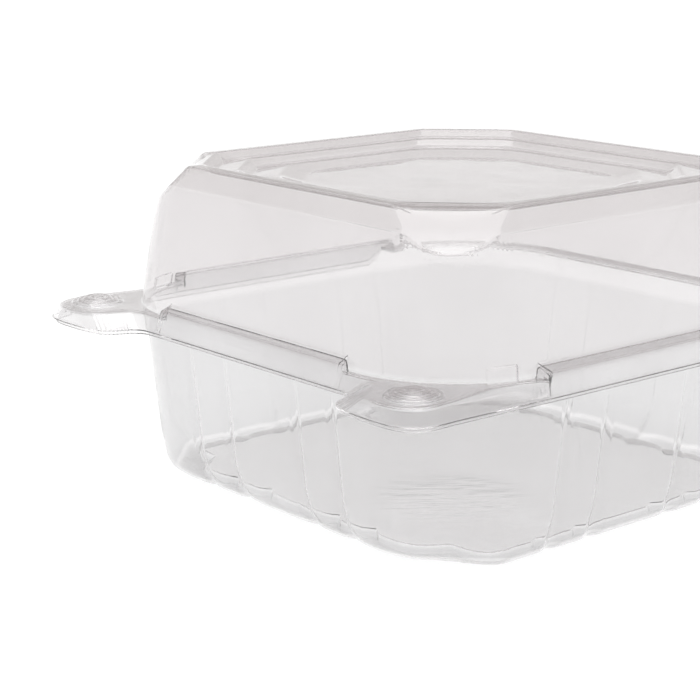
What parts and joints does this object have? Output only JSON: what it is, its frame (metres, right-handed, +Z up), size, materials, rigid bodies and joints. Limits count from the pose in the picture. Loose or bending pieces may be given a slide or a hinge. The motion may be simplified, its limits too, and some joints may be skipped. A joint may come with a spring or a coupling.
{
  "type": "hinged clamshell food pack",
  "caption": "Clear square thermoformed pack: deep fluted tray and domed lid with chamfered corners, joined by a rear fold and closed by press buttons on corner ears.",
  "frame": {"origin": "middle of the pack's outline, ears and fold included, on the surface it stands on", "axes": "+Z up, -Y towards the opening side with the two ears, +Y towards the fold, +X to the right seen from the opening side"},
  "size_m": [0.1384, 0.1476, 0.0784],
  "materials": {
    "clear_tray": "clear gloss formed sheet",
    "clear_lid": "clear gloss formed sheet"
  },
  "bodies": {
    "base": {"base_tray": "clear_tray"},
    "lid": {"lid": "clear_lid"}
  },
  "joints": [
    {"name": "lid_hinge", "type": "hinge", "parent": "base", "child": "lid", "pos_m": [0, 0.07393, 0.04297], "axis": [-1, 0, 0], "range_deg": [0, 180]}
  ]
}
